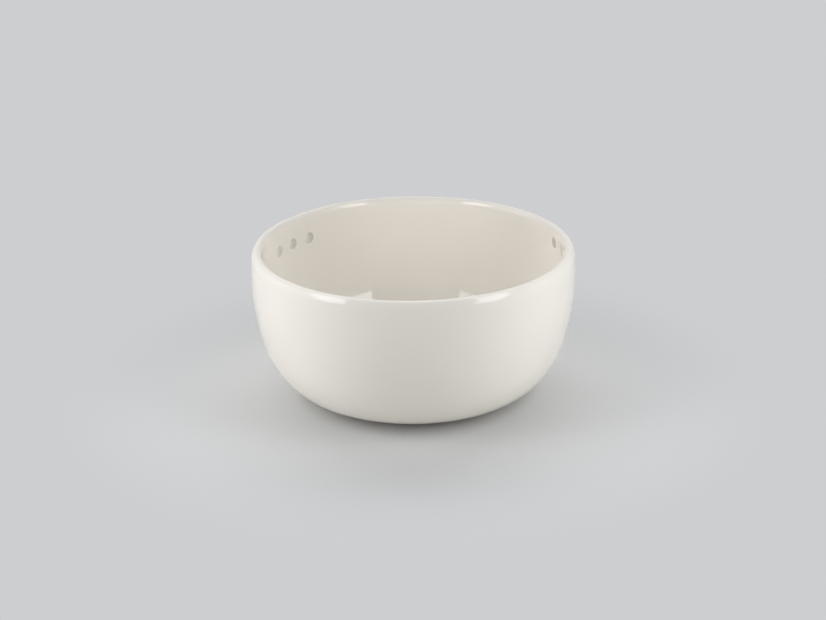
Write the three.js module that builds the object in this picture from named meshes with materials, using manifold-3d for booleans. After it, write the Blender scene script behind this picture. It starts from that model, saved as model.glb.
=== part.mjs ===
// Skewer serving bowl: a round porcelain bowl with a row of skewer holes on each side below its rim.
// Millimetres, +Z up. The origin is the centre of the foot ring's resting face.
// The two rows of holes mirror each other across the YZ plane, towards the back (+Y).
import * as THREE from "three";
import { mergeVertices, toCreasedNormals } from "three/addons/utils/BufferGeometryUtils.js";
import Module from "manifold-3d";

const wasm = await Module();
wasm.setup();

// Bowl, measured over the glaze. Its outside is three tangent arcs from the rim down to the base.
// Slopes are degrees that the surface faces above (+) or below (-) the horizontal.
const RIM_RADIUS = 59.6;
const WALL = 3.8;
const RIM_SLOPE = 5.4;
const SIDE_ARC_RADIUS = 92;
const SHOULDER_SLOPE = -16;
const SHOULDER_ARC_RADIUS = 30.5;
const HEEL_SLOPE = -49;
const HEEL_ARC_RADIUS = 18;
const BASE_SLOPE = -90;

// Foot ring under the base. Its resting face and a narrow band above it stay unglazed.
const FOOT_INSET = 2;
const FOOT_HEIGHT = 1.8;
const FOOT_WIDTH = 4.5;
const FOOT_CHAMFER = 0.4;
const GLAZE_LINE = 0.7;

// Glaze, and the bond line between it and the porcelain.
const GLAZE = 0.3;
const BOND = 0.1;

// Skewer holes: a row on each side, centred on an angle from the X axis towards the back.
const HOLE_RADIUS = 2.1;
const HOLES_IN_ROW = 3;
const HOLE_PITCH_ANGLE = 9.6;
const ROW_ANGLE = 21.2;
const LEFT_ROW_DROP = 10.3;
const RIGHT_ROW_DROP = 6;

// How finely the round surfaces are cut into flats.
const AROUND = 48;
const SIDE_STEPS = 4;
const SHOULDER_STEPS = 4;
const HEEL_STEPS = 4;
const LIP_STEPS = 6;
const HOLE_SIDES = 16;

// What follows from the sizes above.
const LIP_RADIUS = WALL / 2;
const BISCUIT_INSET = GLAZE + BOND;
const facing = (slope) => {
  const angle = THREE.MathUtils.degToRad(slope);
  return new THREE.Vector2(Math.cos(angle), Math.sin(angle));
};

// Centres of the lip and of the three wall arcs in the radius-height plane, hung from the lip.
function hangArcs() {
  const lip = new THREE.Vector2(RIM_RADIUS - LIP_RADIUS, 0);
  const side = lip.clone().addScaledVector(facing(RIM_SLOPE), LIP_RADIUS - SIDE_ARC_RADIUS);
  const shoulder = side.clone();
  shoulder.addScaledVector(facing(SHOULDER_SLOPE), SIDE_ARC_RADIUS - SHOULDER_ARC_RADIUS);
  const heel = shoulder.clone();
  heel.addScaledVector(facing(HEEL_SLOPE), SHOULDER_ARC_RADIUS - HEEL_ARC_RADIUS);
  const lift = FOOT_HEIGHT + HEEL_ARC_RADIUS - heel.y;
  for (const centre of [lip, side, shoulder, heel]) {
    centre.y += lift;
  }
  return { lip, side, shoulder, heel };
}

const CENTRES = hangArcs();
const RIM_HEIGHT = CENTRES.lip.y + LIP_RADIUS;
const FOOT_RADIUS = CENTRES.heel.x - FOOT_INSET;
const WELL_RADIUS = FOOT_RADIUS - FOOT_WIDTH;

// Points along an arc, without its first point, which the stretch before it already holds.
function arc(centre, radius, fromSlope, toSlope, steps) {
  const points = [];
  for (let step = 1; step <= steps; step += 1) {
    const slope = THREE.MathUtils.lerp(fromSlope, toSlope, step / steps);
    points.push(centre.clone().addScaledVector(facing(slope), radius));
  }
  return points;
}

// The bowl's section at a depth below its glazed surface: from the foot ring's outer wall,
// up the outside, over the lip and down the inside to the middle of the floor.
function sectionAt(inset) {
  const { lip, side, shoulder, heel } = CENTRES;
  const outer = (radius) => radius - inset;
  const inner = (radius) => radius - WALL + inset;
  const overLip = RIM_SLOPE + 180;
  return [
    new THREE.Vector2(FOOT_RADIUS - inset, FOOT_HEIGHT + inset),
    new THREE.Vector2(heel.x, FOOT_HEIGHT + inset),
    ...arc(heel, outer(HEEL_ARC_RADIUS), BASE_SLOPE, HEEL_SLOPE, HEEL_STEPS),
    ...arc(shoulder, outer(SHOULDER_ARC_RADIUS), HEEL_SLOPE, SHOULDER_SLOPE, SHOULDER_STEPS),
    ...arc(side, outer(SIDE_ARC_RADIUS), SHOULDER_SLOPE, RIM_SLOPE, SIDE_STEPS),
    ...arc(lip, LIP_RADIUS - inset, RIM_SLOPE, overLip, LIP_STEPS),
    ...arc(side, inner(SIDE_ARC_RADIUS), RIM_SLOPE, SHOULDER_SLOPE, SIDE_STEPS),
    ...arc(shoulder, inner(SHOULDER_ARC_RADIUS), SHOULDER_SLOPE, HEEL_SLOPE, SHOULDER_STEPS),
    ...arc(heel, inner(HEEL_ARC_RADIUS), HEEL_SLOPE, BASE_SLOPE, HEEL_STEPS),
    new THREE.Vector2(0, FOOT_HEIGHT + WALL - inset),
  ];
}

// A closed geometry as a solid that can be joined and cut.
function toSolid(geometry) {
  geometry.deleteAttribute("normal");
  geometry.deleteAttribute("uv");
  const merged = mergeVertices(geometry);
  const corners = merged.index.array;
  const triVerts = [];
  for (let i = 0; i < corners.length; i += 3) {
    const [a, b, c] = corners.slice(i, i + 3);
    // A turned section's flats shrink to lines where they meet the axis.
    if (a !== b && b !== c && c !== a) {
      triVerts.push(a, b, c);
    }
  }
  const mesh = new wasm.Mesh({
    numProp: 3,
    vertProperties: merged.attributes.position.array,
    triVerts: new Uint32Array(triVerts),
  });
  return new wasm.Manifold(mesh);
}

// Turns a section, listed from the axis below to the axis above, about the Z axis.
function turned(section) {
  return toSolid(new THREE.LatheGeometry(section, AROUND).rotateX(Math.PI / 2));
}

// Round bars along every skewer hole, long enough to pass right through the wall.
function holeBars(radius) {
  const bars = [];
  const rows = [
    { middle: ROW_ANGLE, turn: -1, drop: RIGHT_ROW_DROP },
    { middle: 180 - ROW_ANGLE, turn: 1, drop: LEFT_ROW_DROP },
  ];
  for (const { middle, turn, drop } of rows) {
    for (let i = 0; i < HOLES_IN_ROW; i += 1) {
      const offset = (i - (HOLES_IN_ROW - 1) / 2) * HOLE_PITCH_ANGLE;
      const azimuth = THREE.MathUtils.degToRad(middle + turn * offset);
      const bar = new THREE.CylinderGeometry(radius, radius, 4 * WALL, HOLE_SIDES);
      bar.rotateZ(Math.PI / 2);
      bar.translate(RIM_RADIUS - LIP_RADIUS, 0, RIM_HEIGHT - drop);
      bar.rotateZ(azimuth);
      bars.push(toSolid(bar));
    }
  }
  return wasm.Manifold.union(bars);
}

// Fired porcelain: wall, floor and foot ring in one piece, pierced by the skewer holes.
function porcelainBody() {
  const footOuter = FOOT_RADIUS - BISCUIT_INSET;
  const footInner = WELL_RADIUS + BISCUIT_INSET;
  const wellCeiling = FOOT_HEIGHT + BISCUIT_INSET;
  const section = [
    new THREE.Vector2(0, wellCeiling),
    new THREE.Vector2(footInner, wellCeiling),
    new THREE.Vector2(footInner, FOOT_CHAMFER),
    new THREE.Vector2(footInner + FOOT_CHAMFER, 0),
    new THREE.Vector2(footOuter - FOOT_CHAMFER, 0),
    new THREE.Vector2(footOuter, FOOT_CHAMFER),
    ...sectionAt(BISCUIT_INSET),
  ];
  return turned(section).subtract(holeBars(HOLE_RADIUS + BISCUIT_INSET));
}

// Glaze over the outside, the lip and the inside, running through the skewer holes as their lining.
function glazeCoat() {
  const glazed = turned([
    new THREE.Vector2(0, GLAZE_LINE),
    new THREE.Vector2(FOOT_RADIUS, GLAZE_LINE),
    ...sectionAt(0),
  ]);
  const underGlaze = turned([
    new THREE.Vector2(0, 0),
    new THREE.Vector2(FOOT_RADIUS - GLAZE, 0),
    ...sectionAt(GLAZE),
  ]);
  const core = underGlaze.subtract(holeBars(HOLE_RADIUS + GLAZE));
  return glazed.subtract(core).subtract(holeBars(HOLE_RADIUS));
}

// Glaze inside the foot ring, cut off from the rest by the bare ring.
function footWellGlaze() {
  const outerRadius = WELL_RADIUS + GLAZE;
  return turned([
    new THREE.Vector2(0, FOOT_HEIGHT),
    new THREE.Vector2(WELL_RADIUS, FOOT_HEIGHT),
    new THREE.Vector2(WELL_RADIUS, GLAZE_LINE),
    new THREE.Vector2(outerRadius, GLAZE_LINE),
    new THREE.Vector2(outerRadius, FOOT_HEIGHT + GLAZE),
    new THREE.Vector2(0, FOOT_HEIGHT + GLAZE),
  ]);
}

// A solid as a named mesh whose round surfaces shade smooth and whose edges stay sharp.
function toMesh(name, solid, material) {
  const { vertProperties, triVerts } = solid.getMesh();
  const geometry = new THREE.BufferGeometry();
  geometry.setAttribute("position", new THREE.BufferAttribute(vertProperties, 3));
  geometry.setIndex(new THREE.BufferAttribute(triVerts, 1));
  const mesh = new THREE.Mesh(toCreasedNormals(geometry), material);
  mesh.name = name;
  return mesh;
}

const biscuit = new THREE.MeshStandardMaterial({ color: 0xddd6c8, roughness: 0.85, metalness: 0 });
const glaze = new THREE.MeshStandardMaterial({ color: 0xe9e6de, roughness: 0.12, metalness: 0 });

const bowl = new THREE.Group();
bowl.name = "skewer_serving_bowl";
bowl.add(toMesh("porcelain_body", porcelainBody(), biscuit));
bowl.add(toMesh("glaze_coat", glazeCoat(), glaze));
bowl.add(toMesh("foot_well_glaze", footWellGlaze(), glaze));

export default bowl;
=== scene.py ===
"""Looks of a skewer serving bowl: glazed porcelain, turned and pierced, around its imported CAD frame."""
import math

import bpy
from mathutils import Matrix, Quaternion, Vector


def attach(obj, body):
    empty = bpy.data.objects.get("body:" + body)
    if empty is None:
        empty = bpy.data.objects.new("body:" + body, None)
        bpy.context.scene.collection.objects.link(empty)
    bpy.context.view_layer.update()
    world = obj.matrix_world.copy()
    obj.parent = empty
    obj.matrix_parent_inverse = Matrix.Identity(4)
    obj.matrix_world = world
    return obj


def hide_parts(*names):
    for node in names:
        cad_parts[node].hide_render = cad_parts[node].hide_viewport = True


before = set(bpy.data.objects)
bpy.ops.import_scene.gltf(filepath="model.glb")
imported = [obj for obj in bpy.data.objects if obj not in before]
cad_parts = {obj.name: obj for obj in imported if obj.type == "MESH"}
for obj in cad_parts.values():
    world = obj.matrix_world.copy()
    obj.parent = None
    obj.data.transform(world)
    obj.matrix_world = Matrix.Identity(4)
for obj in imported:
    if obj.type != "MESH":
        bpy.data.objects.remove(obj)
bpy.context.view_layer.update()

MM = 0.001

# The bowl over its glaze, in millimetres: three tangent arcs hang from the rim, as in the CAD model.
# Slopes are degrees that the surface faces above (+) or below (-) the horizontal.
RIM_RADIUS = 59.6
WALL = 3.8
RIM_SLOPE = 5.4
SIDE_ARC_RADIUS = 92
SHOULDER_SLOPE = -16
SHOULDER_ARC_RADIUS = 30.5
HEEL_SLOPE = -49
HEEL_ARC_RADIUS = 18
BASE_SLOPE = -90
LIP_RADIUS = WALL / 2

# Lip: how far down its rounding runs on each side, and how full it is (2 is an ellipse).
LIP_OUTER_RUN = 2.8
LIP_INNER_RUN = 3.2
LIP_FULLNESS = 2.2

# Foot ring and the bare band at its resting face.
FOOT_INSET = 2
FOOT_HEIGHT = 1.8
FOOT_WIDTH = 4.5
FOOT_ROUND = 0.4
GLAZE_LINE = 0.7
GLAZE_POOL = 0.9

# Glaze, and the porcelain under it.
GLAZE = 0.3
BOND = 0.1
BISCUIT_INSET = GLAZE + BOND

# Skewer holes: a row on each side, with edges softened by the glaze.
HOLE_RADIUS = 2.1
HOLE_SOFTENING = 0.35
LEAST_SOFTENING = 0.05
HOLES_IN_ROW = 3
HOLE_PITCH_ANGLE = 9.6
ROW_ANGLE = 21.2
LEFT_ROW_DROP = 10.3
RIGHT_ROW_DROP = 6
PATCH_HALF_HEIGHT = 2.8

# How finely the pieces are turned, and the hole patches made.
AROUND = 225
PATCH_COLUMNS = 6
PATCH_ROW_HEIGHT = 0.9
SKIN_RINGS = 4
MOUTH_STEPS = 6
SHARP_ANGLE = 50

# Steps along each stretch of a section.
POOL_STEPS = 4
HEEL_STEPS = 7
SHOULDER_STEPS = 8
SIDE_STEPS = 8
LIP_STEPS = 7
FLOOR_STEPS = 6
WELL_STEPS = 10
EDGE_STEPS = 6

# Points closer than these are one, in a section and in a turned piece.
SAME_POINT = 1e-4
WELD = 0.01

# Camera, as fitted to the photograph: it stands to the right of the bowl's front.
IMAGE_WIDTH = 826
IMAGE_HEIGHT = 620
VIEW_TURN = 13.2
VIEW_ELEVATION = 21.48
VIEW_ROLL = 0.77
VIEW_DISTANCE = 715
AIM_HEIGHT = 30.34
FOCAL_PIXELS = 1907.5
SENSOR_WIDTH = 36
AIM_PIXEL = (413.25, 310.23)


def linear(hex_colour):
    """An sRGB hex colour as linear RGBA."""
    channels = [int(hex_colour[i:i + 2], 16) / 255 for i in (1, 3, 5)]
    return [c / 12.92 if c <= 0.04045 else ((c + 0.055) / 1.055) ** 2.4 for c in channels] + [1.0]


def add_node(tree, kind, inputs=None, **settings):
    """A node with its settings. Each input is a plain value, an output that is linked into it, or a
    node that stands for its first output in use."""
    node = tree.nodes.new(kind)
    for name, value in settings.items():
        setattr(node, name, value)
    for socket, given in (inputs or {}).items():
        if isinstance(given, bpy.types.Node):
            given = next(output for output in given.outputs if output.enabled)
        if isinstance(given, bpy.types.NodeSocket):
            tree.links.new(given, node.inputs[socket])
        else:
            node.inputs[socket].default_value = given
    return node


# Section of the bowl in the radius-height plane, in millimetres.

def facing(slope):
    """The unit direction that a surface of this slope faces."""
    angle = math.radians(slope)
    return Vector((math.cos(angle), math.sin(angle)))


def hang_arcs():
    """Centres of the lip and of the three wall arcs, set so that the base is one foot height up."""
    lip = Vector((RIM_RADIUS - LIP_RADIUS, 0))
    side = lip + facing(RIM_SLOPE) * (LIP_RADIUS - SIDE_ARC_RADIUS)
    shoulder = side + facing(SHOULDER_SLOPE) * (SIDE_ARC_RADIUS - SHOULDER_ARC_RADIUS)
    heel = shoulder + facing(HEEL_SLOPE) * (SHOULDER_ARC_RADIUS - HEEL_ARC_RADIUS)
    lift = Vector((0, FOOT_HEIGHT + HEEL_ARC_RADIUS - heel.y))
    return lip + lift, side + lift, shoulder + lift, heel + lift


LIP, SIDE, SHOULDER, HEEL = hang_arcs()
RIM_HEIGHT = LIP.y + LIP_RADIUS
FOOT_RADIUS = HEEL.x - FOOT_INSET
WELL_RADIUS = FOOT_RADIUS - FOOT_WIDTH
RIGHT_ROW_HEIGHT = RIM_HEIGHT - RIGHT_ROW_DROP
LEFT_ROW_HEIGHT = RIM_HEIGHT - LEFT_ROW_DROP


def spread(start, end, steps):
    """Values from start to end in equal steps, both ends included."""
    return [start + (end - start) * i / steps for i in range(steps + 1)]


def arc(centre, radius, start, end, steps):
    """Points of an arc between two slopes."""
    return [centre + facing(slope) * radius for slope in spread(start, end, steps)]


def patch_lines():
    """Heights on the wall that line up with the hole patches' edges and rows."""
    edges = sorted(
        row + side * PATCH_HALF_HEIGHT
        for row in (LEFT_ROW_HEIGHT, RIGHT_ROW_HEIGHT)
        for side in (-1, 1)
    )
    lines = edges[:1]
    for low, high in zip(edges, edges[1:]):
        lines += spread(low, high, math.ceil((high - low) / PATCH_ROW_HEIGHT))[1:]
    return lines


PATCH_LINES = patch_lines()


def side_radius(arc_radius, height):
    """The side wall's radius at a height, for the arc that bounds one of its skins."""
    return SIDE.x + math.sqrt(arc_radius ** 2 - (height - SIDE.y) ** 2)


def side_run(arc_radius, steps):
    """The side wall from its shoulder up to the patches' top, with points on every patch line."""
    bottom = SIDE.y + arc_radius * math.sin(math.radians(SHOULDER_SLOPE))
    heights = spread(bottom, PATCH_LINES[0], steps) + PATCH_LINES[1:]
    return [Vector((side_radius(arc_radius, height), height)) for height in heights]


def lip_run(arc_radius, inset, run, steps):
    """One side of the lip, from the wall to the top: the wall bends over on a long, full curve."""
    points = []
    for angle in spread(0, math.pi / 2, steps):
        up = math.sin(angle) ** (2 / LIP_FULLNESS)
        out = math.cos(angle) ** (2 / LIP_FULLNESS)
        height = RIM_HEIGHT - run + (run - inset) * up
        points.append(Vector((LIP.x + (side_radius(arc_radius, height) - LIP.x) * out, height)))
    return points


def without_repeats(points):
    """The points with each run of equal ones cut to its first."""
    kept = points[:1]
    for point in points[1:]:
        if (point - kept[-1]).length > SAME_POINT:
            kept.append(point)
    return kept


def bowl_section(inset, fine):
    """The bowl's skin at a depth below the glaze: from the foot ring's outer wall, up the outside,
    over the lip and down the inside to the middle of the floor. fine multiplies its steps."""
    outer = [radius - inset for radius in (HEEL_ARC_RADIUS, SHOULDER_ARC_RADIUS, SIDE_ARC_RADIUS)]
    inner = [radius + 2 * inset - WALL for radius in outer]
    pool = GLAZE_POOL - inset
    corner = Vector((FOOT_RADIUS + pool, FOOT_HEIGHT - pool)) + Vector((-inset, inset))
    outside = (
        arc(corner, pool, 180, 90, POOL_STEPS * fine)
        + arc(HEEL, outer[0], BASE_SLOPE, HEEL_SLOPE, HEEL_STEPS * fine)
        + arc(SHOULDER, outer[1], HEEL_SLOPE, SHOULDER_SLOPE, SHOULDER_STEPS * fine)
        + side_run(outer[2], SIDE_STEPS * fine)
    )
    lip = (
        lip_run(outer[2], inset, LIP_OUTER_RUN, LIP_STEPS * fine)
        + lip_run(inner[2], inset, LIP_INNER_RUN, LIP_STEPS * fine)[::-1]
    )
    inside = (
        side_run(inner[2], SIDE_STEPS * fine)[::-1]
        + arc(SHOULDER, inner[1], SHOULDER_SLOPE, HEEL_SLOPE, SHOULDER_STEPS * fine)
        + arc(HEEL, inner[0], HEEL_SLOPE, BASE_SLOPE, HEEL_STEPS * fine)
    )
    floor = [Vector((radius, inside[-1].y)) for radius in spread(HEEL.x, 0, FLOOR_STEPS * fine)]
    return without_repeats(outside + lip + inside + floor)


def glaze_edge(radius):
    """The round lower edge of a glaze coat on the foot ring."""
    return arc(Vector((radius, GLAZE_LINE + GLAZE / 2)), GLAZE / 2, 180, 360, EDGE_STEPS)


def glaze_section():
    """Closed section of the glaze coat: its skin, then its underside back to the foot ring."""
    skin = bowl_section(0, fine=2)
    under = bowl_section(GLAZE, fine=1)[::-1]
    edge = glaze_edge(FOOT_RADIUS - GLAZE / 2)
    return edge + skin + under + edge[:1]


def well_section():
    """Closed section of the glaze inside the foot ring, from the middle out and back."""
    centre = Vector((WELL_RADIUS - GLAZE_POOL, FOOT_HEIGHT - GLAZE_POOL))
    skin = [Vector((radius, FOOT_HEIGHT)) for radius in spread(0, centre.x, WELL_STEPS)]
    skin += arc(centre, GLAZE_POOL, 90, 0, EDGE_STEPS)
    under = arc(centre, GLAZE_POOL + GLAZE, 0, 90, EDGE_STEPS)
    under += [Vector((radius, FOOT_HEIGHT + GLAZE)) for radius in spread(centre.x, 0, WELL_STEPS)]
    return without_repeats(skin + glaze_edge(WELL_RADIUS + GLAZE / 2) + under)


def body_section():
    """Closed section of the porcelain: the well, the bare foot ring, then the bowl under its glaze."""
    ceiling = FOOT_HEIGHT + BISCUIT_INSET
    inner = WELL_RADIUS + BISCUIT_INSET
    outer = FOOT_RADIUS - BISCUIT_INSET
    well = [Vector((radius, ceiling)) for radius in spread(0, inner, WELL_STEPS)]
    inner_edge = arc(Vector((inner + FOOT_ROUND, FOOT_ROUND)), FOOT_ROUND, 180, 270, EDGE_STEPS)
    outer_edge = arc(Vector((outer - FOOT_ROUND, FOOT_ROUND)), FOOT_ROUND, 270, 360, EDGE_STEPS)
    return without_repeats(well + inner_edge + outer_edge + bowl_section(BISCUIT_INSET, fine=1))


def mesh_object(name, points, edges=(), faces=()):
    """A mesh in the scene, from points in millimetres."""
    mesh = bpy.data.meshes.new(name)
    mesh.from_pydata([Vector(point) * MM for point in points], edges, faces)
    made = bpy.data.objects.new(name, mesh)
    bpy.context.scene.collection.objects.link(made)
    return made


# Skewer hole: a patch of both walls round one hole, on the X axis, ready to be turned into place.

def patch_border(height):
    """The patch's edge on the wall as (angle from the hole, height), anticlockwise seen from outside."""
    half = HOLE_PITCH_ANGLE / 2
    low, high = height - PATCH_HALF_HEIGHT, height + PATCH_HALF_HEIGHT
    columns = spread(-half, half, PATCH_COLUMNS)
    rows = [line for line in PATCH_LINES if low - SAME_POINT < line < high + SAME_POINT]
    border = [(angle, low) for angle in columns]
    border += [(half, line) for line in rows[1:]]
    border += [(angle, high) for angle in columns[-2::-1]]
    border += [(-half, line) for line in rows[-2:0:-1]]
    return border


def mouth_rings(height, inset, arc_radius, into_wall):
    """Rings of points on one skin of the wall, from the patch's edge over the hole's softened mouth."""
    bore = HOLE_RADIUS + inset
    softening = max(HOLE_SOFTENING - inset, LEAST_SOFTENING)
    mouth = bore + softening
    edge = []
    for angle, line in patch_border(height):
        turn = math.radians(angle)
        radius = side_radius(arc_radius, line)
        edge.append(Vector((radius * math.cos(turn), radius * math.sin(turn), line)))
    bearings = [math.atan2(point.z - height, point.y) for point in edge]

    def on_skin(across, up, depth):
        radius = side_radius(arc_radius, height + up)
        return Vector((math.sqrt(radius ** 2 - across ** 2) + into_wall * depth, across, height + up))

    rings = [edge]
    for share in spread(0, 1, SKIN_RINGS)[1:-1]:
        rings.append([
            on_skin(
                point.y + (mouth * math.cos(bearing) - point.y) * share,
                point.z - height + (mouth * math.sin(bearing) - point.z + height) * share,
                0,
            )
            for point, bearing in zip(edge, bearings)
        ])
    for turn in spread(0, math.pi / 2, MOUTH_STEPS):
        radius = bore + softening * (1 - math.sin(turn))
        depth = softening * (1 - math.cos(turn))
        rings.append([
            on_skin(radius * math.cos(bearing), radius * math.sin(bearing), depth)
            for bearing in bearings
        ])
    return rings


def hole_rings(height, inset):
    """Rings of points from the patch's edge outside, through the hole, to its edge inside."""
    outside = mouth_rings(height, inset, SIDE_ARC_RADIUS - inset, into_wall=-1)
    inside = mouth_rings(height, inset, SIDE_ARC_RADIUS - WALL + inset, into_wall=1)
    middle = [(outer + inner) / 2 for outer, inner in zip(outside[-1], inside[-1])]
    return outside + [middle] + inside[::-1]


def hole_patch(name, height, skins):
    """One skewer hole as a mesh. skins lists (depth below the glaze, which way the faces look)."""
    points, faces, depths = [], [], []
    for inset, way in skins:
        rings = hole_rings(height, inset)
        count = len(rings[0])
        first = len(points)
        for number, ring in enumerate(rings):
            points += ring
            from_edge = min(number, len(rings) - 1 - number) - SKIN_RINGS
            depths += [min(max(from_edge / MOUTH_STEPS, 0), 1)] * count
        for number in range(len(rings) - 1):
            here = first + number * count
            onward = here + count
            for spot in range(count):
                beside = (spot + 1) % count
                face = (here + spot, here + beside, onward + beside, onward + spot)
                faces.append(face[::way])
    patch = mesh_object(name, points, faces=faces)
    bore = patch.data.attributes.new("bore", "FLOAT", "POINT")
    bore.data.foreach_set("value", depths)
    return patch


def hole_patches(name, skins):
    """The right and the left row's hole patch for one piece."""
    return (
        hole_patch(f"{name}_right_hole", RIGHT_ROW_HEIGHT, skins),
        hole_patch(f"{name}_left_hole", LEFT_ROW_HEIGHT, skins),
    )


# Turned piece: a section turned about the bowl's axis, with its hole patches set in and welded.

TURNED_INPUTS = (
    ("Around", "NodeSocketInt"),
    ("Start angle", "NodeSocketFloat"),
    ("Hole pitch", "NodeSocketFloat"),
    ("Holes in row", "NodeSocketInt"),
    ("Patch half height", "NodeSocketFloat"),
    ("Right row angle", "NodeSocketFloat"),
    ("Right row height", "NodeSocketFloat"),
    ("Right hole", "NodeSocketObject"),
    ("Left row angle", "NodeSocketFloat"),
    ("Left row height", "NodeSocketFloat"),
    ("Left hole", "NodeSocketObject"),
    ("Material", "NodeSocketMaterial"),
)


def turned_piece_tree():
    """The Geometry Nodes tree that turns a section and sets its rows of hole patches in."""
    tree = bpy.data.node_groups.new("Turned piece with skewer holes", "GeometryNodeTree")
    tree.interface.new_socket("Section", in_out="INPUT", socket_type="NodeSocketGeometry")
    for name, kind in TURNED_INPUTS:
        tree.interface.new_socket(name, in_out="INPUT", socket_type=kind)
    tree.interface.new_socket("Piece", in_out="OUTPUT", socket_type="NodeSocketGeometry")
    given = add_node(tree, "NodeGroupInput").outputs

    # Each column of a grid takes the section's points, and each step of columns turns them on.
    size = add_node(tree, "GeometryNodeAttributeDomainSize", {"Geometry": given["Section"]})
    per_turn = size.outputs["Point Count"]
    columns = add_node(tree, "FunctionNodeIntegerMath", {0: given["Around"], 1: 1}, operation="ADD")
    grid = add_node(tree, "GeometryNodeMeshGrid", {"Vertices X": columns, "Vertices Y": per_turn})
    index = add_node(tree, "GeometryNodeInputIndex")
    column = add_node(tree, "FunctionNodeIntegerMath", {0: index, 1: per_turn}, operation="DIVIDE_FLOOR")
    place = add_node(tree, "FunctionNodeIntegerMath", {0: index, 1: per_turn}, operation="MODULO")
    position = add_node(tree, "GeometryNodeInputPosition")
    section_point = add_node(
        tree, "GeometryNodeSampleIndex",
        {"Geometry": given["Section"], "Value": position, "Index": place},
        data_type="FLOAT_VECTOR", domain="POINT",
    )
    step = add_node(tree, "ShaderNodeMath", {0: 2 * math.pi, 1: given["Around"]}, operation="DIVIDE")
    angle = add_node(
        tree, "ShaderNodeMath", {0: column, 1: step, 2: given["Start angle"]}, operation="MULTIPLY_ADD",
    )
    turned = add_node(
        tree, "ShaderNodeVectorRotate", {"Vector": section_point, "Angle": angle}, rotation_type="Z_AXIS",
    )
    wall = add_node(
        tree, "GeometryNodeSetPosition", {"Geometry": grid.outputs["Mesh"], "Position": turned},
    )

    # Holes are counted from the middle of their row.
    holes, pitch = given["Holes in row"], given["Hole pitch"]
    row_width = add_node(tree, "ShaderNodeMath", {0: pitch, 1: holes}, operation="MULTIPLY")
    half_row = add_node(tree, "ShaderNodeMath", {0: row_width, 1: 0.5}, operation="MULTIPLY")
    last_hole = add_node(tree, "ShaderNodeMath", {0: holes, 1: 1}, operation="SUBTRACT")
    middle = add_node(tree, "ShaderNodeMath", {0: last_hole, 1: 0.5}, operation="MULTIPLY")
    from_middle = add_node(tree, "ShaderNodeMath", {0: index, 1: middle}, operation="SUBTRACT")

    # Each row opens a window in the walls and fills it with its patches.
    rows, windows = [], []
    for side in ("Right", "Left"):
        row_angle, row_height = given[f"{side} row angle"], given[f"{side} row height"]
        back = add_node(tree, "ShaderNodeMath", {0: row_angle, 1: -1}, operation="MULTIPLY")
        ahead = add_node(
            tree, "ShaderNodeVectorRotate", {"Vector": position, "Angle": back}, rotation_type="Z_AXIS",
        )
        axes = add_node(tree, "ShaderNodeSeparateXYZ", {"Vector": ahead}).outputs
        bearing = add_node(tree, "ShaderNodeMath", {0: axes["Y"], 1: axes["X"]}, operation="ARCTAN2")
        across = add_node(tree, "ShaderNodeMath", {0: bearing, 1: 0, 2: half_row}, operation="COMPARE")
        level = add_node(
            tree, "ShaderNodeMath", {0: axes["Z"], 1: row_height, 2: given["Patch half height"]},
            operation="COMPARE",
        )
        windows.append(add_node(tree, "ShaderNodeMath", {0: across, 1: level}, operation="MULTIPLY"))
        spots = add_node(tree, "GeometryNodeMeshLine", {"Count": holes, "Offset": (0, 0, 0)})
        turn = add_node(
            tree, "ShaderNodeMath", {0: from_middle, 1: pitch, 2: row_angle}, operation="MULTIPLY_ADD",
        )
        rotation = add_node(tree, "ShaderNodeCombineXYZ", {"Z": turn})
        patch = add_node(tree, "GeometryNodeObjectInfo", {"Object": given[f"{side} hole"]})
        rows.append(add_node(
            tree, "GeometryNodeInstanceOnPoints",
            {"Points": spots, "Instance": patch.outputs["Geometry"], "Rotation": rotation},
        ))
    right_window, left_window = windows
    either = add_node(tree, "ShaderNodeMath", {0: right_window, 1: left_window}, operation="ADD")
    window = add_node(tree, "ShaderNodeMath", {0: either, 1: 0.5}, operation="GREATER_THAN")
    opened = add_node(
        tree, "GeometryNodeDeleteGeometry", {"Geometry": wall, "Selection": window},
        domain="FACE", mode="ALL",
    )
    joined = add_node(tree, "GeometryNodeJoinGeometry")
    for part in (opened, *rows):
        tree.links.new(part.outputs[0], joined.inputs["Geometry"])
    real = add_node(tree, "GeometryNodeRealizeInstances", {"Geometry": joined})
    welded = add_node(tree, "GeometryNodeMergeByDistance", {"Geometry": real, "Distance": WELD * MM})

    # Welding at the axis leaves a bare edge where a section runs along it.
    neighbours = add_node(tree, "GeometryNodeInputMeshEdgeNeighbors")
    bare = add_node(tree, "ShaderNodeMath", {0: neighbours, 1: 0.5}, operation="LESS_THAN")
    clean = add_node(
        tree, "GeometryNodeDeleteGeometry", {"Geometry": welded, "Selection": bare},
        domain="EDGE", mode="EDGE_FACE",
    )
    smooth = add_node(tree, "GeometryNodeSetShadeSmooth", {"Geometry": clean})
    finished = add_node(
        tree, "GeometryNodeSetMaterial", {"Geometry": smooth, "Material": given["Material"]},
    )
    add_node(tree, "NodeGroupOutput", {"Piece": finished})
    return tree


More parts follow.
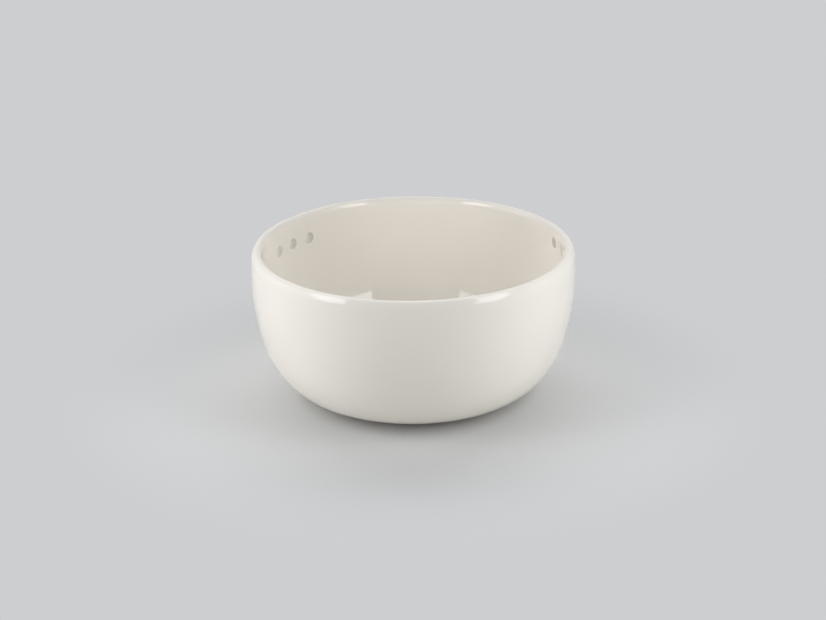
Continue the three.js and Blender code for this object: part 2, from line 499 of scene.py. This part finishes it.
def turn_piece(tree, name, section, material, holes):
    """A section turned into a finished piece as a plain mesh, with its (right, left) hole patches."""
    points = [(point.x, 0, point.y) for point in section]
    piece = mesh_object(name, points, [(i, i + 1) for i in range(len(points) - 1)])
    modifier = piece.modifiers.new("Turned", "NODES")
    modifier.node_group = tree
    right_hole, left_hole = holes
    values = {
        "Around": AROUND,
        "Start angle": math.radians(ROW_ANGLE),
        "Hole pitch": math.radians(HOLE_PITCH_ANGLE),
        "Holes in row": HOLES_IN_ROW,
        "Patch half height": PATCH_HALF_HEIGHT * MM,
        "Right row angle": math.radians(ROW_ANGLE),
        "Right row height": RIGHT_ROW_HEIGHT * MM,
        "Right hole": right_hole,
        "Left row angle": math.radians(180 - ROW_ANGLE),
        "Left row height": LEFT_ROW_HEIGHT * MM,
        "Left hole": left_hole,
        "Material": material,
    }
    for item in tree.interface.items_tree:
        if item.in_out == "INPUT" and item.name in values:
            modifier[item.identifier] = values[item.name]
    bpy.context.view_layer.update()
    evaluated = piece.evaluated_get(bpy.context.evaluated_depsgraph_get())
    mesh = bpy.data.meshes.new_from_object(evaluated)
    mesh.name = name
    piece.modifiers.remove(modifier)
    piece.data = mesh
    mesh.set_sharp_from_angle(angle=math.radians(SHARP_ANGLE))
    for patch in holes:
        if patch:
            bpy.data.objects.remove(patch)
    return piece


# Materials: colours in sRGB, and the sizes and heights of their patterns in millimetres.

# Glaze. Most of a noise's values lie in NOISE_SPAN, and a cell's speck grows strong over SPECK_PICK.
NOISE_SPAN = (0.3, 0.7)
GLAZE_WHITE = "#F4F0EA"
GLAZE_CREAM = "#F2EEE6"
GLAZE_IOR = 1.52
GLAZE_ROUGHNESS = (0.04, 0.06)
DRIFT_SIZE = 24
SHEEN_SIZE = 9
WAVE_SIZE = 15
WAVE_HEIGHT = 0.04
PEEL_SIZE = 1.6
PEEL_HEIGHT = 0.001
LIP_CREAM = "#EEE8DA"
LIP_CREAM_DEPTH = 0.7
LIP_CREAM_SHARE = 0.12
SPECK_BROWN = "#8A7758"
SPECK_SPACING = 11
SPECK_SIZE = 0.5
SPECK_PICK = (0.55, 0.95)
SPECK_SHARE = 0.7
BORE_FILM = "#F2EEE6"
BORE_FILM_START = 0.45
BORE_ROUGHNESS = 0.6

# Bare porcelain.
BISCUIT_CLEAN = "#DDD6C8"
BISCUIT_SOILED = "#CDC5B5"
BISCUIT_IOR = 1.5
BISCUIT_ROUGHNESS = 0.85
SOIL_SIZE = 6
GRIT_SIZE = 0.35
GRIT_HEIGHT = 0.05

# Paper floor, and the backdrop that it fades into.
PAPER_BOUNCE = "#E6E6E4"
PAPER_SEEN = "#D4D5D6"
PAPER_ROUGHNESS = 0.9
PAPER_SHINE = 0.2
TOOTH_SIZE = 0.8
TOOTH_HEIGHT = 0.02
FADE_START = 55
FADE_END = 140
BACKDROP = "#CDCED0"


def new_material(name):
    """A material with an empty tree, and the place on the piece that its patterns read."""
    material = bpy.data.materials.new(name)
    material.use_nodes = True
    tree = material.node_tree
    tree.nodes.clear()
    place = add_node(tree, "ShaderNodeTexCoord").outputs["Object"]
    return material, tree, place


def per_metre(size_mm):
    """Texture scale for features of a real size."""
    return 1 / (size_mm * MM)


def white_glaze():
    """Glossy feldspathic glaze, fired on porcelain: warm white, with slow waves left by the flow of
    the melt, a fine orange peel, faint drifts of tone and a few pinprick iron specks. It thins to the
    body's cream on the lip and to a matt film in the skewer holes."""
    material, tree, place = new_material("white_porcelain_glaze")
    drift, sheen, wave, peel = (
        add_node(
            tree, "ShaderNodeTexNoise",
            {"Vector": place, "Scale": per_metre(size), "Detail": detail, "Roughness": roughness},
        ).outputs["Fac"]
        for size, detail, roughness in (
            (DRIFT_SIZE, 2.0, 0.5), (SHEEN_SIZE, 2.0, 0.5), (WAVE_SIZE, 1.0, 0.4), (PEEL_SIZE, 1.0, 0.4),
        )
    )
    white = add_node(
        tree, "ShaderNodeMix", {"Factor": drift, "A": linear(GLAZE_WHITE), "B": linear(GLAZE_CREAM)},
        data_type="RGBA",
    )

    crest = add_node(
        tree, "ShaderNodeMapRange",
        {
            "Value": add_node(tree, "ShaderNodeSeparateXYZ", {"Vector": place}).outputs["Z"],
            "From Min": (RIM_HEIGHT - LIP_CREAM_DEPTH) * MM,
            "From Max": RIM_HEIGHT * MM,
            "To Max": LIP_CREAM_SHARE,
        },
        interpolation_type="SMOOTHSTEP",
    )
    thinned = add_node(
        tree, "ShaderNodeMix", {"Factor": crest, "A": white, "B": linear(LIP_CREAM)}, data_type="RGBA",
    )

    # One speck in each cell of a loose lattice, kept in few of the cells.
    cells = add_node(
        tree, "ShaderNodeTexVoronoi", {"Vector": place, "Scale": per_metre(SPECK_SPACING)},
    ).outputs
    speck_radius = SPECK_SIZE / 2 / SPECK_SPACING
    near = add_node(
        tree, "ShaderNodeMapRange",
        {"Value": cells["Distance"], "From Min": speck_radius, "From Max": speck_radius / 2},
        interpolation_type="SMOOTHSTEP",
    )
    pick = add_node(tree, "ShaderNodeSeparateColor", {"Color": cells["Color"]}).outputs["Red"]
    few = add_node(
        tree, "ShaderNodeMapRange",
        {"Value": pick, "From Min": SPECK_PICK[0], "From Max": SPECK_PICK[1], "To Max": SPECK_SHARE},
        interpolation_type="SMOOTHSTEP",
    )
    speck = add_node(tree, "ShaderNodeMath", {0: near, 1: few}, operation="MULTIPLY")
    specked = add_node(
        tree, "ShaderNodeMix", {"Factor": speck, "A": thinned, "B": linear(SPECK_BROWN)},
        data_type="RGBA",
    )

    depth = add_node(tree, "ShaderNodeAttribute", attribute_name="bore").outputs["Fac"]
    film = add_node(
        tree, "ShaderNodeMapRange", {"Value": depth, "From Min": BORE_FILM_START},
        interpolation_type="SMOOTHSTEP",
    )
    colour = add_node(
        tree, "ShaderNodeMix", {"Factor": film, "A": specked, "B": linear(BORE_FILM)}, data_type="RGBA",
    )
    gloss = add_node(
        tree, "ShaderNodeMapRange",
        {
            "Value": sheen,
            "From Min": NOISE_SPAN[0],
            "From Max": NOISE_SPAN[1],
            "To Min": GLAZE_ROUGHNESS[0],
            "To Max": GLAZE_ROUGHNESS[1],
        },
        interpolation_type="SMOOTHSTEP",
    )
    matt = add_node(tree, "ShaderNodeMix", {"Factor": film, "A": gloss, "B": BORE_ROUGHNESS})

    waves = add_node(
        tree, "ShaderNodeBump", {"Height": wave, "Strength": 1.0, "Distance": WAVE_HEIGHT * MM},
    )
    skin = add_node(
        tree, "ShaderNodeBump",
        {"Height": peel, "Normal": waves, "Strength": 1.0, "Distance": PEEL_HEIGHT * MM},
    )
    shader = add_node(
        tree, "ShaderNodeBsdfPrincipled",
        {"Base Color": colour, "Roughness": matt, "Normal": skin, "IOR": GLAZE_IOR},
    )
    add_node(tree, "ShaderNodeOutputMaterial", {"Surface": shader})
    return material


def bare_porcelain():
    """Unglazed fired porcelain: matt, off-white and finely gritty, a little soiled from standing. The
    grit is drawn coarser than it is, so that it shows from close by."""
    material, tree, place = new_material("bare_fired_porcelain")
    soil = add_node(
        tree, "ShaderNodeTexNoise",
        {"Vector": place, "Scale": per_metre(SOIL_SIZE), "Detail": 4.0, "Roughness": 0.6},
    ).outputs["Fac"]
    tone = add_node(
        tree, "ShaderNodeMix", {"Factor": soil, "A": linear(BISCUIT_CLEAN), "B": linear(BISCUIT_SOILED)},
        data_type="RGBA",
    )
    grit = add_node(
        tree, "ShaderNodeTexNoise", {"Vector": place, "Scale": per_metre(GRIT_SIZE), "Detail": 2.0},
    ).outputs["Fac"]
    bump = add_node(
        tree, "ShaderNodeBump", {"Height": grit, "Strength": 0.6, "Distance": GRIT_HEIGHT * MM},
    )
    shader = add_node(
        tree, "ShaderNodeBsdfPrincipled",
        {"Base Color": tone, "Normal": bump, "Roughness": BISCUIT_ROUGHNESS, "IOR": BISCUIT_IOR},
    )
    add_node(tree, "ShaderNodeOutputMaterial", {"Surface": shader})
    return material


def seen_rays(tree):
    """1 for rays that show the backdrop to the eye, straight or in a shine, and 0 for bounced light."""
    rays = add_node(tree, "ShaderNodeLightPath").outputs
    total = rays["Is Camera Ray"]
    for kind in ("Is Glossy Ray", "Is Transmission Ray"):
        total = add_node(
            tree, "ShaderNodeMath", {0: total, 1: rays[kind]}, operation="ADD", use_clamp=True,
        ).outputs[0]
    return total


def studio_paper():
    """Matt paper under the bowl: it throws light up as white paper does, is seen as pale grey with the
    bowl's shadow on it, and fades into the plain backdrop away from the bowl."""
    material, tree, place = new_material("pale_studio_paper")
    seen = seen_rays(tree)
    tone = add_node(
        tree, "ShaderNodeMix", {"Factor": seen, "A": linear(PAPER_BOUNCE), "B": linear(PAPER_SEEN)},
        data_type="RGBA",
    )
    tooth = add_node(
        tree, "ShaderNodeTexNoise", {"Vector": place, "Scale": per_metre(TOOTH_SIZE), "Detail": 3.0},
    ).outputs["Fac"]
    bump = add_node(
        tree, "ShaderNodeBump", {"Height": tooth, "Strength": 0.3, "Distance": TOOTH_HEIGHT * MM},
    )
    paper = add_node(
        tree, "ShaderNodeBsdfPrincipled",
        {"Base Color": tone, "Normal": bump, "Roughness": PAPER_ROUGHNESS, "Specular IOR Level": PAPER_SHINE},
    )
    distance = add_node(tree, "ShaderNodeVectorMath", {0: place}, operation="LENGTH").outputs["Value"]
    away = add_node(
        tree, "ShaderNodeMapRange",
        {"Value": distance, "From Min": FADE_START * MM, "From Max": FADE_END * MM},
        interpolation_type="SMOOTHSTEP",
    )
    fade = add_node(tree, "ShaderNodeMath", {0: away, 1: seen}, operation="MULTIPLY")
    plain = add_node(tree, "ShaderNodeEmission", {"Color": linear(BACKDROP), "Strength": 1.0})
    shader = add_node(tree, "ShaderNodeMixShader", {0: fade, 1: paper, 2: plain})
    add_node(tree, "ShaderNodeOutputMaterial", {"Surface": shader})
    return material


# Pieces

turning = turned_piece_tree()
glaze = white_glaze()
biscuit = bare_porcelain()

glaze_holes = hole_patches("glaze", ((0, 1), (GLAZE, -1)))
body_holes = hole_patches("body", ((BISCUIT_INSET, 1),))
coat = turn_piece(turning, "white_glaze_coat", glaze_section(), glaze, glaze_holes)
body = turn_piece(turning, "porcelain_bowl_body", body_section(), biscuit, body_holes)
well = turn_piece(turning, "foot_well_glaze_patch", well_section(), glaze, (None, None))

for piece, node, slot in (
    (coat, "glaze_coat", "white_glaze"),
    (body, "porcelain_body", "porcelain_biscuit"),
    (well, "foot_well_glaze", "white_glaze"),
):
    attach(piece, "root")
    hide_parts(node)

# Studio

FLOOR_HALF = 3000


def paper_floor():
    """The floor that the bowl stands on."""
    corners = [(x * FLOOR_HALF, y * FLOOR_HALF, 0) for x, y in ((-1, -1), (1, -1), (1, 1), (-1, 1))]
    floor = mesh_object("paper_floor", corners, faces=[(0, 1, 2, 3)])
    floor.data.materials.append(studio_paper())


def towards(azimuth, elevation):
    """The unit direction from the bowl's middle to a place round it. Azimuth 0 is the camera's side."""
    turn = math.radians(azimuth + VIEW_TURN - 90)
    up = math.radians(elevation)
    return Vector((math.cos(turn) * math.cos(up), math.sin(turn) * math.cos(up), math.sin(up)))


def soft_box(name, azimuth, elevation, distance, width, height, power, lean=0):
    """A soft light that looks at the bowl's middle. A positive lean tips the light's top towards
    greater azimuth."""
    aim = Vector((0, 0, AIM_HEIGHT)) * MM
    out = towards(azimuth, elevation)
    light = bpy.data.lights.new(name, "AREA")
    light.shape = "RECTANGLE"
    light.size = width * MM
    light.size_y = height * MM
    light.energy = power
    lamp = bpy.data.objects.new(name, light)
    lamp.location = aim + out * distance * MM
    tip = Quaternion((0, 0, 1), -math.radians(lean))
    lamp.rotation_euler = ((-out).to_track_quat("-Z", "Y") @ tip).to_euler()
    lamp.visible_camera = False
    bpy.context.scene.collection.objects.link(lamp)
    return lamp


def studio_world():
    """A plain backdrop that is seen, straight or in a shine, and throws no light."""
    world = bpy.data.worlds.new("studio")
    world.use_nodes = True
    tree = world.node_tree
    background = tree.nodes["Background"]
    background.inputs["Color"].default_value = linear(BACKDROP)
    tree.links.new(seen_rays(tree), background.inputs["Strength"])
    bpy.context.scene.world = world


def photo_camera():
    """The photograph's view: the bowl's middle lands on the fitted pixel."""
    data = bpy.data.cameras.new("photo_camera")
    data.sensor_fit = "HORIZONTAL"
    data.sensor_width = SENSOR_WIDTH
    data.lens = FOCAL_PIXELS / IMAGE_WIDTH * SENSOR_WIDTH
    data.shift_x = ((IMAGE_WIDTH - 1) / 2 - AIM_PIXEL[0]) / IMAGE_WIDTH
    data.shift_y = (AIM_PIXEL[1] - (IMAGE_HEIGHT - 1) / 2) / IMAGE_WIDTH
    out = towards(0, VIEW_ELEVATION)
    camera = bpy.data.objects.new("photo_camera", data)
    look = (-out).to_track_quat("-Z", "Y").to_matrix().to_4x4()
    roll = Matrix.Rotation(-math.radians(VIEW_ROLL), 4, "Z")
    place = Matrix.Translation((Vector((0, 0, AIM_HEIGHT)) + out * VIEW_DISTANCE) * MM)
    camera.matrix_world = place @ look @ roll
    bpy.context.scene.collection.objects.link(camera)
    bpy.context.scene.camera = camera


paper_floor()
studio_world()
# The strips draw the highlights on the lip and the inner floor, and the wide boxes fill the walls.
strip = {"elevation": 29, "distance": 265, "height": 260}
soft_box("left_strip_box", azimuth=-58, width=100, power=0.31, lean=-17, **strip)
soft_box("right_strip_box", azimuth=53, width=92, power=0.33, lean=17, **strip)
wide = {"elevation": 25, "distance": 1000, "width": 1000, "height": 900}
soft_box("left_wide_box", azimuth=-84, power=2.5, **wide)
soft_box("right_wide_box", azimuth=84, power=1.4, **wide)
# The back light fills the bowl's inside and stays out of the shine, so that it draws no line on the lip.
back_box = soft_box(
    "back_wide_box", azimuth=180, elevation=45, distance=1400, width=2400, height=1000, power=17.5,
)
back_box.visible_glossy = False
photo_camera()
bpy.context.scene.view_settings.view_transform = "Standard"
